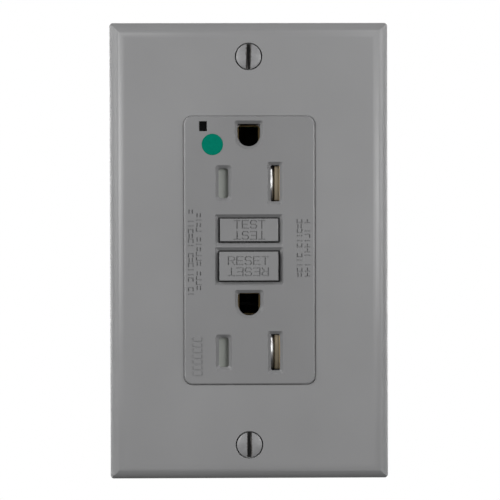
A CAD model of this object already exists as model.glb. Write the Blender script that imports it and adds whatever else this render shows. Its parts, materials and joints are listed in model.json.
"""Looks for the ground-fault receptacle: materials, detailed pieces, soft studio light, floor and camera.

Metres, in the CAD frame: +X right and +Z up as seen from the room, +Y into the wall.
"""

import json
import math

import bmesh
import bpy
from mathutils import Matrix, Vector

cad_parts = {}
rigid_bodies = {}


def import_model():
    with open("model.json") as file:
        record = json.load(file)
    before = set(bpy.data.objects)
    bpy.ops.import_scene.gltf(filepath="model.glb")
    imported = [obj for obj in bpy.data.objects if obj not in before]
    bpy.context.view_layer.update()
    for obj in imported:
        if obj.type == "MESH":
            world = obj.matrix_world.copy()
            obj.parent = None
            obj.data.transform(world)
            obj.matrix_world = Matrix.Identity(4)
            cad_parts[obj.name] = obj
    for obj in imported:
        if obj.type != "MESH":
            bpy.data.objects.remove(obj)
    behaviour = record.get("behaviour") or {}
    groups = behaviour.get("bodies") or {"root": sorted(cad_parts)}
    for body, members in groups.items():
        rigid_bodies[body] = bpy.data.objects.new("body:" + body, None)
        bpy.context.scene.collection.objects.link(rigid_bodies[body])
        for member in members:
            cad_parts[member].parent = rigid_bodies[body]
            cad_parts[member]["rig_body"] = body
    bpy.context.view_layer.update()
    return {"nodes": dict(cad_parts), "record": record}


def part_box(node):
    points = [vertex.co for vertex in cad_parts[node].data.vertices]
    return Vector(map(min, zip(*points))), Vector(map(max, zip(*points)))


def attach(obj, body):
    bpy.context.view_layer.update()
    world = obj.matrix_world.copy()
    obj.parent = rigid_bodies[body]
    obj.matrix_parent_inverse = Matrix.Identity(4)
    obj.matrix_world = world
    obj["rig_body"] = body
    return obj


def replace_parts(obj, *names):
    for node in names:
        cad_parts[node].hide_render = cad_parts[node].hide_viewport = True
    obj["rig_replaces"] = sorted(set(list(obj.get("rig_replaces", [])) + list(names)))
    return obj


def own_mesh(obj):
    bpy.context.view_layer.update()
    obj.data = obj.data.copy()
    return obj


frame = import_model()

MM = 0.001

# ---- camera ----
CAMERA = Vector((-4.4, -420.0, 4.6)) * MM
TARGET = Vector((0.3, 0.0, 0.16)) * MM
LENS = 119.7
ROLL = -0.14                  # degrees

# ---- soft studio lights, aimed at the origin: azimuth, elevation, watts, width, height ----
LIGHTS = (
    (-105, 0, 3.0, 0.30, 0.30),
    (-80, 15, 0.9, 0.30, 0.30),
    (-60, 6, 1.1, 0.25, 0.30),
    (-32, 6, 2.5, 0.25, 0.30),
    (-20, 6, 0.95, 0.25, 0.30),
    (20, 6, 1.2, 0.25, 0.30),
    (32, 6, 1.6, 0.25, 0.30),
    (60, 6, 1.5, 0.25, 0.30),
    (80, 15, 0.7, 0.30, 0.30),
    (105, 0, 3.0, 0.30, 0.30),
    (-45, 32, 2.8, 0.30, 0.30),
    (45, 32, 1.6, 0.30, 0.30),
    (150, 20, 5.0, 0.60, 0.60),
    (-150, 20, 5.0, 0.60, 0.60),
    (180, 50, 3.0, 0.60, 0.60),
)
LIGHT_DISTANCE = 1.0
AMBIENT = 0.01                # strength of the white surround for everything but the camera
FLOOR_HALF = 0.9
FLOOR_Z = -0.35

# ---- sizes that the detailed pieces share with the CAD ----
PLATE_DEPTH = 5.6 * MM
SCREW_SPACING = 96.84 * MM
BOX_SCREW_SPACING = 83.34 * MM
OUTLET_Z = (16.85 * MM, -25.3 * MM)
PIN_Z = -3.73 * MM
COIL_Y = 21.4 * MM
TOROID_Z = 17.5 * MM
TERMINAL_Y = 18.5 * MM
TERMINAL_Z = 24.0 * MM
THREAD_PITCH = 0.794 * MM     # 32 threads per inch
COIL_TOP = -15.87             # mm, upper end of the trip coil's winding
COIL_LENGTH = 12.56           # mm


# ------------------------------------------------------------------ materials
class Finish:
    """A material being built: textures in object coordinates that feed one Principled shader."""

    def __init__(self, name, metal=0.0, **sockets):
        self.material = bpy.data.materials.new(name)
        self.material.use_nodes = True
        self.nodes = self.material.node_tree.nodes
        self.links = self.material.node_tree.links
        self.shader = self.nodes["Principled BSDF"]
        self.shader.inputs["Metallic"].default_value = metal
        for socket, value in sockets.items():
            self.shader.inputs[socket.replace("_", " ")].default_value = value
        self.place = self.nodes.new("ShaderNodeTexCoord").outputs["Object"]

    def stretched(self, scale):
        """Object coordinates scaled along each axis."""
        node = self.nodes.new("ShaderNodeMapping")
        node.inputs["Scale"].default_value = scale
        self.links.new(self.place, node.inputs["Vector"])
        return node.outputs["Vector"]

    def noise(self, size_mm, detail=2.0, stretch=None):
        """Soft noise whose features are about size_mm across."""
        node = self.nodes.new("ShaderNodeTexNoise")
        node.inputs["Scale"].default_value = 1000.0 / size_mm
        node.inputs["Detail"].default_value = detail
        self.links.new(self.stretched(stretch) if stretch else self.place, node.inputs["Vector"])
        return node.outputs["Fac"]

    def cells(self, size_mm):
        """Voronoi cells about size_mm across."""
        node = self.nodes.new("ShaderNodeTexVoronoi")
        node.inputs["Scale"].default_value = 1000.0 / size_mm
        self.links.new(self.place, node.inputs["Vector"])
        return node.outputs["Distance"]

    def axis(self, name):
        """One object coordinate."""
        node = self.nodes.new("ShaderNodeSeparateXYZ")
        self.links.new(self.place, node.inputs["Vector"])
        return node.outputs[name]

    def math(self, kind, a, b=0.0):
        node = self.nodes.new("ShaderNodeMath")
        node.operation = kind
        for socket, value in zip(node.inputs, (a, b)):
            if isinstance(value, float):
                socket.default_value = value
            else:
                self.links.new(value, socket)
        return node.outputs["Value"]

    def between(self, value, low, high, to_low=0.0, to_high=1.0):
        """Maps low..high of a value onto to_low..to_high, and holds it there outside that range."""
        node = self.nodes.new("ShaderNodeMapRange")
        for socket, number in zip(("From Min", "From Max", "To Min", "To Max"), (low, high, to_low, to_high)):
            node.inputs[socket].default_value = number
        self.links.new(value, node.inputs["Value"])
        return node.outputs["Result"]

    def tones(self, factor, *stops):
        """A colour ramp from (position, colour) pairs."""
        node = self.nodes.new("ShaderNodeValToRGB")
        ramp = node.color_ramp
        while len(ramp.elements) < len(stops):
            ramp.elements.new(0.5)
        for element, (position, colour) in zip(ramp.elements, stops):
            element.position = position
            element.color = (*colour, 1.0)
        self.links.new(factor, node.inputs["Fac"])
        return node.outputs["Color"]

    def blend(self, factor, a, b):
        """Colour a where factor is 0 and colour b where it is 1. Each is a socket or a colour."""
        node = self.nodes.new("ShaderNodeMix")
        node.data_type = "RGBA"
        self.links.new(factor, node.inputs["Factor"])
        for socket, value in zip((node.inputs[6], node.inputs[7]), (a, b)):
            if isinstance(value, tuple):
                socket.default_value = (*value, 1.0)
            else:
                self.links.new(value, socket)
        return node.outputs[2]

    def relief(self, *layers):
        """Bump from (height, depth in micrometres) pairs."""
        normal = None
        for height, depth in layers:
            node = self.nodes.new("ShaderNodeBump")
            node.inputs["Strength"].default_value = 1.0
            node.inputs["Distance"].default_value = depth * 1e-6
            self.links.new(height, node.inputs["Height"])
            if normal:
                self.links.new(normal, node.inputs["Normal"])
            normal = node.outputs["Normal"]
        self.links.new(normal, self.shader.inputs["Normal"])

    def finish(self, colour, rough):
        self.links.new(colour, self.shader.inputs["Base Color"])
        self.links.new(rough, self.shader.inputs["Roughness"])
        return self.material


def shade(colour, factor):
    return tuple(c * factor for c in colour)


def moulded(name, colour, rough=0.3, grain_um=2.5, cloud=0.03, recess=None):
    """Satin moulded plastic: faint clouds and specks, uneven gloss and fine grain.

    recess is two depths along Y, in mm. Between them the colour falls to that of dust in a narrow gap.
    """
    m = Finish(name)
    clouds = m.tones(m.noise(22, 3), (0.3, shade(colour, 1 - cloud)), (0.7, shade(colour, 1 + cloud)))
    specks = m.between(m.noise(0.45, 2), 0.6, 0.8, 0.0, 0.08)
    paint = m.blend(specks, clouds, shade(colour, 0.8))
    if recess:
        dust = m.between(m.axis("Y"), recess[0] * MM, recess[1] * MM)
        paint = m.blend(dust, paint, shade(colour, 0.06))
    gloss = m.between(m.noise(12, 1), 0.1, 0.9, rough - 0.03, rough + 0.03)
    m.relief((m.noise(0.5, 1), grain_um), (m.noise(14, 0), grain_um * 3))
    return m.finish(paint, gloss)


def screw_paint(name):
    """Grey paint on an oval head. The slot, the sunk side and the thread are bare, dark and streaked."""
    m = Finish(name)
    grey = (0.236, 0.236, 0.24)
    paint = m.tones(m.noise(1.6, 4), (0.35, shade(grey, 0.9)), (0.7, shade(grey, 1.08)))
    rust = m.noise(0.42, 4, (1.0, 1.0, 0.14))
    off_centre = m.math("ABSOLUTE", m.axis("X"))
    worn = m.math("ADD", rust, m.between(off_centre, 0.1 * MM, 0.55 * MM, -0.1, 0.25))
    bare = m.tones(worn, (0.35, (0.001, 0.001, 0.001)), (0.58, (0.012, 0.011, 0.01)),
                   (0.8, (0.16, 0.15, 0.145)))
    sunk_side = m.between(off_centre, 0.75 * MM, 0.95 * MM)
    bare = m.blend(sunk_side, bare, (0.004, 0.004, 0.004))
    depth = m.between(m.axis("Y"), -5.42 * MM, -5.3 * MM)
    lip = m.between(off_centre, 0.6 * MM, 0.95 * MM, 0.42, 0.0)
    chips = m.between(m.math("ADD", m.noise(0.4, 4), lip), 0.84, 0.98)
    stripped = m.math("MAXIMUM", depth, chips)
    m.relief((m.noise(0.6, 3), 9.0), (rust, 5.0))
    painted_gloss = m.between(m.noise(1.2, 3), 0.3, 0.7, 0.3, 0.42)
    gloss = m.math("ADD", painted_gloss, m.between(stripped, 0.2, 1.0, 0.0, 0.5))
    return m.finish(m.blend(stripped, paint, bare), gloss)


def printed(name, colour):
    """A matte printed disc: uneven ink with a fine tooth."""
    m = Finish(name, Specular_IOR_Level=0.0)
    ink = m.tones(m.noise(0.7, 4), (0.3, shade(colour, 0.93)), (0.7, shade(colour, 1.06)))
    m.relief((m.noise(0.25, 2), 4.0))
    return m.finish(ink, m.between(m.noise(2, 2), 0.3, 0.7, 0.7, 0.85))


def dark_lens(name):
    """The lamp window: nearly black, glossy, with a few fine rubs."""
    m = Finish(name, Coat_Weight=0.2)
    tint = m.tones(m.noise(1.5, 2), (0.3, (0.0012, 0.0012, 0.0014)), (0.7, (0.003, 0.0028, 0.003)))
    m.relief((m.noise(0.8, 2), 0.8))
    return m.finish(tint, m.between(m.noise(0.6, 4), 0.4, 0.7, 0.12, 0.22))


def metal(name, colour, rough, along=(1.0, 1.0, 0.08), streak=0.07, tarnish=0.2, tarnished=None):
    """Drawn or rolled metal: fine streaks along one axis, patches of tarnish, faint dents."""
    m = Finish(name, metal=1.0)
    streaks = m.noise(0.18, 4, along)
    patches = m.between(m.noise(5.0, 3), 0.52, 0.75, 0.0, tarnish)
    clean = m.tones(streaks, (0.3, shade(colour, 1 - streak)), (0.7, shade(colour, 1 + streak)))
    colours = m.blend(patches, clean, tarnished or shade(colour, 0.45))
    gloss = m.math("ADD", m.between(streaks, 0.3, 0.7, rough - 0.03, rough + 0.05), patches)
    m.relief((streaks, 0.8), (m.noise(2.5, 2), 4.0))
    return m.finish(colours, gloss)


def zinc(name):
    """Zinc-plated steel: a soft spangle, a slight yellow bloom and rolling marks."""
    m = Finish(name, metal=1.0)
    spangle = m.cells(1.4)
    base = m.tones(spangle, (0.1, (0.5, 0.5, 0.49)), (0.8, (0.64, 0.64, 0.62)))
    bloom = m.between(m.noise(7, 4), 0.5, 0.72, 0.0, 0.4)
    gloss = m.between(m.noise(0.9, 4), 0.3, 0.7, 0.27, 0.42)
    m.relief((m.noise(0.25, 3, (1.0, 1.0, 0.1)), 1.5), (spangle, 2.0))
    return m.finish(m.blend(bloom, base, (0.55, 0.5, 0.36)), gloss)


def dipped(name, colour):
    """A screw dipped in coloured lacquer: thick in the recesses, thin on the crests."""
    m = Finish(name, metal=0.6, Coat_Weight=0.4, Coat_Roughness=0.15)
    film = m.tones(m.noise(0.9, 4), (0.3, shade(colour, 0.6)), (0.75, shade(colour, 1.6)))
    m.relief((m.noise(0.4, 3), 5.0))
    return m.finish(film, m.between(m.noise(0.7, 3), 0.3, 0.7, 0.22, 0.4))


def fibre(name):
    """Vulcanised fibre washer: red-brown, with short hairs pressed into it."""
    m = Finish(name)
    hairs = m.noise(0.25, 5, (0.25, 1.0, 1.0))
    colour = m.tones(hairs, (0.3, (0.2, 0.035, 0.025)), (0.7, (0.42, 0.1, 0.06)))
    m.relief((hairs, 14.0))
    return m.finish(colour, m.between(hairs, 0.3, 0.7, 0.6, 0.8))


def enamelled(name):
    """Enamelled copper wire: warm metal under clear varnish."""
    m = Finish(name, metal=0.85, Coat_Weight=0.5, Coat_Roughness=0.1)
    colour = m.tones(m.noise(1.2, 4), (0.3, (0.26, 0.07, 0.025)), (0.7, (0.46, 0.16, 0.06)))
    m.relief((m.noise(0.5, 2), 2.0))
    return m.finish(colour, m.between(m.noise(0.8, 3), 0.3, 0.7, 0.24, 0.38))


def solder_mask(name):
    """Circuit board: green mask with paler tracks under it, upright in some areas and level in the others."""
    m = Finish(name, Coat_Weight=0.3)
    upright = m.between(m.math("PINGPONG", m.axis("X"), 0.9 * MM), 0.3 * MM, 0.36 * MM, 1.0, 0.0)
    level = m.between(m.math("PINGPONG", m.axis("Z"), 1.1 * MM), 0.3 * MM, 0.36 * MM, 1.0, 0.0)
    area = m.noise(7, 0)
    upright = m.math("MINIMUM", upright, m.between(area, 0.5, 0.505))
    level = m.math("MINIMUM", level, m.between(area, 0.46, 0.465, 1.0, 0.0))
    tracks = m.math("MAXIMUM", upright, level)
    mask = m.tones(m.noise(1.5, 3), (0.3, (0.012, 0.09, 0.028)), (0.7, (0.018, 0.12, 0.038)))
    m.relief((tracks, 18.0), (m.noise(0.3, 2), 1.5))
    return m.finish(m.blend(tracks, mask, (0.03, 0.2, 0.06)), m.between(m.noise(1, 2), 0.3, 0.7, 0.25, 0.36))


def epoxy(name, colour, rough=0.25):
    """Dipped or moulded component body: slightly lumpy and glossy."""
    m = Finish(name, Coat_Weight=0.25)
    tint = m.tones(m.noise(1.1, 4), (0.3, shade(colour, 0.85)), (0.7, shade(colour, 1.12)))
    m.relief((m.noise(1.6, 1), 8.0), (m.noise(0.3, 1), 0.6))
    return m.finish(tint, m.between(m.noise(0.7, 3), 0.3, 0.7, rough - 0.05, rough + 0.1))


FINISHES = {
    "plate_grey": moulded("plate_plastic", (0.25, 0.25, 0.253)),
    "screw_grey": screw_paint("screw_paint"),
    "face_grey": moulded("face_plastic", (0.217, 0.217, 0.22), recess=(-5.4, -5.0)),
    "button_grey": moulded("button_plastic", (0.217, 0.217, 0.22), recess=(-6.1, -5.5)),
    "dot_green": printed("dot_ink", (0.0015, 0.168, 0.112)),
    "smoked_lens": dark_lens("dark_lens"),
    "shutter_plastic": moulded("shutter_plastic", (0.31, 0.325, 0.3), 0.4),
    "tray_plastic": moulded("tray_plastic", (0.02, 0.02, 0.022), 0.45),
    "spring_steel": metal("spring_steel", (0.42, 0.42, 0.43), 0.28),
    "steel": metal("steel", (0.42, 0.42, 0.43), 0.32, tarnished=(0.16, 0.12, 0.09)),
    "black_steel": metal("black_oxide", (0.03, 0.03, 0.032), 0.45),
    "plated_steel": zinc("zinc_plate"),
    "brass": metal("brass", (0.56, 0.4, 0.16), 0.33, tarnished=(0.24, 0.15, 0.07)),
    "silver_screw": metal("nickel", (0.62, 0.61, 0.58), 0.26, (0.12, 1.0, 1.0), tarnish=0.08),
    "green_screw": dipped("green_lacquer", (0.02, 0.2, 0.06)),
    "silver_point": metal("silver_alloy", (0.7, 0.69, 0.65), 0.3),
    "fibre": fibre("red_fibre"),
    "housing_plastic": moulded("housing_plastic", (0.2, 0.2, 0.203), 0.42, 6.0),
    "carriage_plastic": moulded("nylon", (0.5, 0.48, 0.41), 0.45, 4.0),
    "bobbin_plastic": moulded("black_nylon", (0.02, 0.02, 0.021), 0.45, 4.0),
    "copper_winding": enamelled("enamelled_copper"),
    "board": solder_mask("solder_mask"),
    "lamp": epoxy("lamp_epoxy", (0.1, 0.45, 0.12), 0.12),
    "varistor": epoxy("varistor_epoxy", (0.04, 0.09, 0.32)),
    "capacitor": epoxy("capacitor_sleeve", (0.09, 0.09, 0.1)),
    "components": epoxy("component_bodies", (0.11, 0.09, 0.07), 0.35),
}
AGED_BRASS = metal("aged_brass", (0.13, 0.095, 0.045), 0.45, tarnished=(0.05, 0.035, 0.02))
DULL_BRASS = metal("dull_brass", (0.165, 0.14, 0.1), 0.5, streak=0.06, tarnish=0.1)
BRIGHT_PLATING = metal("bright_plating", (0.45, 0.45, 0.45), 0.3, streak=0.05, tarnish=0.0)
SLOTS = {part["node"]: part["material_slot"] for part in frame["record"]["subparts"]}


# ------------------------------------------------------------------ making pieces
def piece(name, bm, *nodes, body=None, slot=None):
    """Turns bm into an object that rides on a body and stands for the named CAD nodes."""
    mesh = bpy.data.meshes.new(name)
    for face in bm.faces:
        face.smooth = True
    bm.to_mesh(mesh)
    bm.free()
    obj = bpy.data.objects.new(name, mesh)
    bpy.context.scene.collection.objects.link(obj)
    slot = slot or SLOTS[nodes[0]]
    mesh.materials.append(FINISHES[slot])
    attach(obj, body or frame["nodes"][nodes[0]]["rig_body"])
    if nodes:
        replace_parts(obj, *nodes)
    return obj


def cad_mesh(node):
    """A clean copy of a CAD node's mesh: shared vertices are merged and flat areas are single faces."""
    bm = bmesh.new()
    bm.from_mesh(frame["nodes"][node].data)
    bmesh.ops.remove_doubles(bm, verts=bm.verts, dist=1e-6)
    bmesh.ops.dissolve_limit(bm, angle_limit=math.radians(0.6), verts=bm.verts, edges=bm.edges)
    return bm


def soften(obj, width_mm, angle=25):
    """Rounds an object's sharp edges by width_mm and keeps its flat faces flat."""
    rounding = obj.modifiers.new("rounding", "BEVEL")
    rounding.width = width_mm * MM
    rounding.segments = 2
    rounding.limit_method = "ANGLE"
    rounding.angle_limit = math.radians(angle)
    level = obj.modifiers.new("flat_faces", "WEIGHTED_NORMAL")
    level.keep_sharp = True
    level.weight = 80
    return obj


def soften_large(obj, width_mm, least_mm2):
    """Rounds only the sharp edges between two large faces, so that fine engraving keeps its shape."""
    bm = bmesh.new()
    bm.from_mesh(obj.data)
    weight = bm.edges.layers.float.new("bevel_weight_edge")
    for edge in bm.edges:
        if len(edge.link_faces) != 2:
            continue
        if edge.calc_face_angle(0.0) < math.radians(30):
            continue
        if min(face.calc_area() for face in edge.link_faces) > least_mm2 * 1e-6:
            edge[weight] = 1.0
        else:
            edge.smooth = False
    bm.to_mesh(obj.data)
    bm.free()
    soften(obj, width_mm)
    obj.modifiers["rounding"].limit_method = "WEIGHT"
    obj.modifiers["rounding"].use_clamp_overlap = False


def refined(node, width_mm):
    return soften(piece(node + "_detail", cad_mesh(node), node), width_mm)


def shank(bm, start, direction, radius, depth, pitch, length, taper):
    """Adds a threaded shank to bm. The thread is depth deep, and the end narrows over the length taper."""
    around, per_turn = 24, 8
    direction = Vector(direction).normalized()
    side = direction.orthogonal().normalized()
    other = direction.cross(side)
    rows = int(length / pitch * per_turn)
    rings = []
    for i in range(rows + 1):
        along = length * i / rows
        narrow = max(0.0, 1 - (length - along) / taper) * depth
        ring = []
        for k in range(around):
            turn = 2 * math.pi * k / around
            phase = (along / pitch - k / around) % 1.0
            ridge = min(1.0, 1.35 * (1 - abs(2 * phase - 1)))
            r = radius - depth * (1 - ridge) - narrow
            point = Vector(start) + direction * along + (side * math.cos(turn) + other * math.sin(turn)) * r
            ring.append(bm.verts.new(point))
        rings.append(ring)
    for near, far in zip(rings, rings[1:]):
        for k in range(around):
            bm.faces.new((near[k], near[(k + 1) % around], far[(k + 1) % around], far[k]))
    bm.faces.new(rings[-1])
    bm.faces.new(rings[0][::-1])


def cut_off(bm, point, direction):
    """Removes the part of bm beyond a plane and closes the cut."""
    whole = list(bm.verts) + list(bm.edges) + list(bm.faces)
    cut = bmesh.ops.bisect_plane(bm, geom=whole, plane_co=point, plane_no=direction, clear_outer=True)
    rim = [item for item in cut["geom_cut"] if isinstance(item, bmesh.types.BMEdge)]
    bmesh.ops.contextual_create(bm, geom=rim)


def wire(bm, points, radius, around=8, closed=False):
    """Adds a round wire along points to bm."""
    count = len(points)
    normal = None
    rings = []
    for i, point in enumerate(points):
        ahead = points[(i + 1) % count] if closed or i + 1 < count else point
        behind = points[i - 1] if closed or i else point
        heading = (ahead - behind).normalized()
        normal = heading.orthogonal() if normal is None else normal - heading * normal.dot(heading)
        normal.normalize()
        other = heading.cross(normal)
        rings.append([bm.verts.new(point + (normal * math.cos(2 * math.pi * k / around)
                                            + other * math.sin(2 * math.pi * k / around)) * radius)
                      for k in range(around)])
    pairs = list(zip(rings, rings[1:])) + ([(rings[-1], rings[0])] if closed else [])
    for near, far in pairs:
        for k in range(around):
            bm.faces.new((near[k], near[(k + 1) % around], far[(k + 1) % around], far[k]))
    if not closed:
        bm.faces.new(rings[-1])
        bm.faces.new(rings[0][::-1])


# ------------------------------------------------------------------ plate, face and buttons
def plate_and_face():
    soften_large(piece("wall_plate_detail", cad_mesh("wall_plate"), "wall_plate"), 0.08, 0.2)
    soften_large(piece("front_cover_detail", cad_mesh("front_cover"), "front_cover"), 0.05, 0.6)
    for node in ("test_button", "reset_button"):
        soften_large(piece(node + "_detail", cad_mesh(node), node), 0.04, 2.0)
    refined("hospital_grade_dot", 0.05)
    refined("light_pipe", 0.1)


def plate_screws():
    """Oval heads from the CAD, with a rolled 6-32 thread."""
    bm = cad_mesh("plate_screws")
    seat = -PLATE_DEPTH + 2.05 * MM
    cut_off(bm, (0, seat, 0), (0, 1, 0))
    soften(piece("plate_screws_detail", bm, "plate_screws"), 0.07)
    threads = bmesh.new()
    for z in (SCREW_SPACING / 2, -SCREW_SPACING / 2):
        shank(threads, (0, seat - 0.1 * MM, z), (0, 1, 0), 1.73 * MM, 0.3 * MM, THREAD_PITCH,
              10.7 * MM, 0.9 * MM)
    piece("plate_screw_threads", threads, body="device", slot="steel")


# ------------------------------------------------------------------ springs and windings
def coil_points(start, axis, radius, length, turns, dead=1.0):
    """Points of a compression spring. Its end turns lie close, one wire apart."""
    axis = Vector(axis).normalized()
    side = axis.orthogonal().normalized()
    other = axis.cross(side)
    points = []
    steps = int(turns * 24)
    for i in range(steps + 1):
        t = i / steps
        turn = turns * t
        lift = (turn - 0.75 * (min(turn, dead) + max(0.0, turn - (turns - dead)))) / (turns - 1.5 * dead)
        angle = 2 * math.pi * turn
        points.append(Vector(start) + axis * length * lift
                      + (side * math.cos(angle) + other * math.sin(angle)) * radius)
    return points


def springs():
    """Round-wire compression springs. Each one shortens with the piece that presses it."""
    layout = (
        ("reset_spring", "reset_press", (0, -3.75, PIN_Z / MM), (0, 1, 0), 2.6, 0.3, 4.7, 5.5,
         (0, 1.25, 0), 0.5),
        ("upper_shutter_spring", "upper_shutter_slide", (-8.41, -3.7, 16.7), (-1, 0, 0), 0.75, 0.16, 5.98, 9,
         (-14.55, 0, 0), 0.52),
        ("lower_shutter_spring", "lower_shutter_slide", (-8.41, -3.7, -25.3), (-1, 0, 0), 0.75, 0.16, 5.98, 9,
         (-14.55, 0, 0), 0.52),
        ("plunger_spring", "plunger_pull", (0, COIL_Y / MM, -26.7), (0, 0, -1), 1.4, 0.2, 2.7, 5.5,
         (0, 0, -29.6), 0.52),
    )
    for node, joint, start, axis, radius, gauge, length, turns, anchor, keep in layout:
        bm = bmesh.new()
        wire(bm, coil_points(Vector(start) * MM, axis, radius * MM, length * MM, turns), gauge * MM)
        obj = piece(node + "_detail", bm, node)
        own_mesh(obj)


def squared(value):
    """Stretches one coordinate of a circle and cuts it off, for a section with flat sides."""
    return max(-1.0, min(1.0, 1.35 * value))


def windings():
    """The trip coil's outer layer of wire, and the wire round both sensing rings."""
    bm = bmesh.new()
    turns, steps, radius, gauge = 38, 32, 4.63 * MM, 0.17 * MM
    points = []
    for i in range(turns * steps + 1):
        angle = 2 * math.pi * i / steps
        z = (COIL_TOP - COIL_LENGTH * i / (turns * steps)) * MM
        points.append(Vector((radius * math.cos(angle), COIL_Y + radius * math.sin(angle), z)))
    wire(bm, points, gauge, 6)
    piece("trip_coil_detail", bm, "trip_coil")

    bm = bmesh.new()
    low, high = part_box("sensing_coils")
    half = (high[1] - low[1]) / 4
    for centre_y in (low[1] + half, high[1] - half):
        turns, steps = 84, 14
        points = []
        for i in range(turns * steps):
            around = 2 * math.pi * i / (turns * steps)
            through = 2 * math.pi * i / steps
            out = squared(math.cos(through)) * 1.8 * MM + 6.1 * MM
            y = centre_y + squared(math.sin(through)) * (half - 0.35 * MM)
            points.append(Vector((out * math.cos(around), y, TOROID_Z + out * math.sin(around))))
        wire(bm, points, 0.16 * MM, 6, closed=True)
    piece("sensing_coils_detail", bm, "sensing_coils")


# ------------------------------------------------------------------ contacts
def tongue(bm, section, centre_z, half, barrel):
    """Adds a sprung strip to bm: an outline in x and y carried along z, set back by barrel at both ends."""
    steps = 16
    rows = []
    for i in range(steps + 1):
        t = 2 * i / steps - 1
        z = centre_z + half * t
        rows.append([bm.verts.new(Vector((x, y + barrel * t * t, z)) * MM) for x, y in section])
    for near, far in zip(rows, rows[1:]):
        for a, b, c, d in zip(near, near[1:], far[1:], far):
            bm.faces.new((a, b, c, d))


def neutral_guides():
    """The leaves behind the neutral slots, nearly shut: a plated left lip and a broad brass right lip."""
    left = ((5.0, -4.86), (5.35, -4.84), (5.65, -4.74), (5.9, -4.6), (6.0, -4.3), (6.04, -3.6), (6.06, -1.2))
    right = ((6.12, -1.2), (6.12, -3.5), (6.18, -4.15), (6.36, -4.4), (6.8, -4.56), (7.4, -4.62),
             (8.0, -4.64))
    layout = (("left", left, 1.0, "silver_screw", BRIGHT_PLATING), ("right", right, 0.3, "brass", DULL_BRASS))
    for name, section, barrel, slot, finish in layout:
        bm = bmesh.new()
        for z in OUTLET_Z:
            tongue(bm, section, z / MM, 4.4, barrel)
        obj = piece("neutral_lip_" + name, bm, body="device", slot=slot)
        sheet = obj.modifiers.new("sheet", "SOLIDIFY")
        sheet.thickness = 0.2 * MM
        sheet.offset = 1.0 if name == "left" else -1.0
        obj.modifiers.new("smooth", "SUBSURF").render_levels = 2
        obj.data.materials[0] = finish


def contacts():
    refined("neutral_face_contact", 0.07)
    neutral_guides()
    sockets = refined("ground_contacts", 0.08)
    sockets.data.materials[0] = AGED_BRASS


# ------------------------------------------------------------------ screws behind the plate
def box_screws():
    bm = cad_mesh("box_screws")
    cut_off(bm, (0, 1.0 * MM, 0), (0, 1, 0))
    soften(piece("box_screws_detail", bm, "box_screws"), 0.1)
    threads = bmesh.new()
    for z in (BOX_SCREW_SPACING / 2, -BOX_SCREW_SPACING / 2):
        shank(threads, (0, 0.5 * MM, z), (0, 1, 0), 1.75 * MM, 0.33 * MM, THREAD_PITCH,
              30.0 * MM, 1.2 * MM)
    piece("box_screw_threads", threads, body="device", slot=SLOTS["box_screws"])


def side_screw(node, seat_x, length, y, z, out):
    """A slotted terminal screw: its head from the CAD, and an 8-32 thread that runs inwards."""
    bm = cad_mesh(node)
    cut_off(bm, ((seat_x - 0.05 * out) * MM, 0, 0), (-out, 0, 0))
    soften(piece(node + "_detail", bm, node), 0.08)
    threads = bmesh.new()
    shank(threads, (seat_x * MM, y, z), (-out, 0, 0), 2.0 * MM, 0.33 * MM, THREAD_PITCH,
          length * MM, 0.6 * MM)
    piece(node + "_thread", threads, body=frame["nodes"][node]["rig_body"], slot=SLOTS[node])


def side_screws():
    for level, z in (("line", TERMINAL_Z), ("load", -TERMINAL_Z)):
        for side, out in (("hot", -1), ("neutral", 1)):
            side_screw(f"{level}_{side}_screw", 17.25 * out, 5.8, TERMINAL_Y, z, out)
    side_screw("ground_screw", -13.75, 8.2, 4.4 * MM, -41.3 * MM, -1)


# ------------------------------------------------------------------ everything else
ROUNDING_MM = {               # how much the remaining pieces' arrises are rounded
    "mounting_strap": 0.15, "rear_housing": 0.2, "separator": 0.1, "shutter_tray": 0.1,
    "upper_shutter": 0.18, "lower_shutter": 0.18, "transformer_case": 0.15, "coil_bobbin": 0.12,
    "coil_frame": 0.12, "trip_plunger": 0.15, "reset_pin": 0.15, "contact_carriage": 0.15,
}


def remaining():
    """Every other CAD node keeps its shape and gets rounded arrises."""
    done = set()
    for obj in bpy.context.scene.objects:
        done.update(obj.get("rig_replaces", []))
    for node in sorted(frame["nodes"]):
        if node not in done:
            refined(node, ROUNDING_MM.get(node, 0.07))


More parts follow.
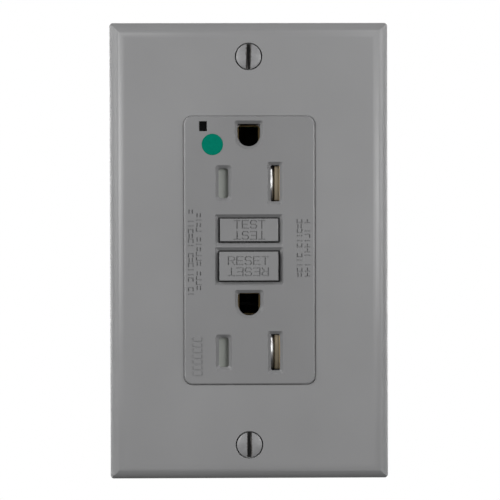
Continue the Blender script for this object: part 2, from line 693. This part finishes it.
# ------------------------------------------------------------------ studio
def studio():
    world = bpy.data.worlds.new("white_surround")
    bpy.context.scene.world = world
    world.use_nodes = True
    nodes, links = world.node_tree.nodes, world.node_tree.links
    background = nodes["Background"]
    background.inputs["Color"].default_value = (1.0, 1.0, 1.0, 1.0)
    seen = nodes.new("ShaderNodeMapRange")
    seen.inputs["To Min"].default_value = AMBIENT
    links.new(nodes.new("ShaderNodeLightPath").outputs["Is Camera Ray"], seen.inputs["Value"])
    links.new(seen.outputs["Result"], background.inputs["Strength"])

    for azimuth, elevation, watts, width, height in LIGHTS:
        a, e = math.radians(azimuth), math.radians(elevation)
        towards = Vector((math.sin(a) * math.cos(e), -math.cos(a) * math.cos(e), math.sin(e)))
        light = bpy.data.lights.new("softbox", "AREA")
        light.shape = "RECTANGLE"
        light.size, light.size_y, light.energy = width, height, watts
        lamp = bpy.data.objects.new("softbox", light)
        lamp.location = towards * LIGHT_DISTANCE
        lamp.rotation_euler = (-towards).to_track_quat("-Z", "Y").to_euler()
        bpy.context.scene.collection.objects.link(lamp)

    bm = bmesh.new()
    level = Matrix.Translation((0, 0, FLOOR_Z))
    bmesh.ops.create_grid(bm, x_segments=8, y_segments=8, size=FLOOR_HALF, matrix=level)
    mesh = bpy.data.meshes.new("floor")
    bm.to_mesh(mesh)
    bm.free()
    floor = bpy.data.objects.new("floor", mesh)
    bpy.context.scene.collection.objects.link(floor)
    m = Finish("pale_floor", Emission_Color=(1.0, 1.0, 1.0, 1.0), Emission_Strength=0.9)
    mesh.materials.append(m.finish(m.tones(m.noise(60, 2), (0.3, (0.8, 0.8, 0.8)), (0.7, (0.83, 0.83, 0.83))),
                                   m.between(m.noise(20, 2), 0.3, 0.7, 0.8, 0.9)))
    floor.visible_diffuse = False
    floor.visible_glossy = False


def camera():
    data = bpy.data.cameras.new("camera")
    data.lens = LENS
    eye = bpy.data.objects.new("camera", data)
    eye.location = CAMERA
    facing = (TARGET - CAMERA).to_track_quat("-Z", "Y")
    eye.rotation_euler = (facing.to_matrix() @ Matrix.Rotation(math.radians(ROLL), 3, "Z")).to_euler()
    bpy.context.scene.collection.objects.link(eye)
    bpy.context.scene.camera = eye


plate_and_face()
plate_screws()
springs()
windings()
contacts()
box_screws()
side_screws()
remaining()
studio()
camera()
bpy.context.scene.view_settings.view_transform = "Standard"
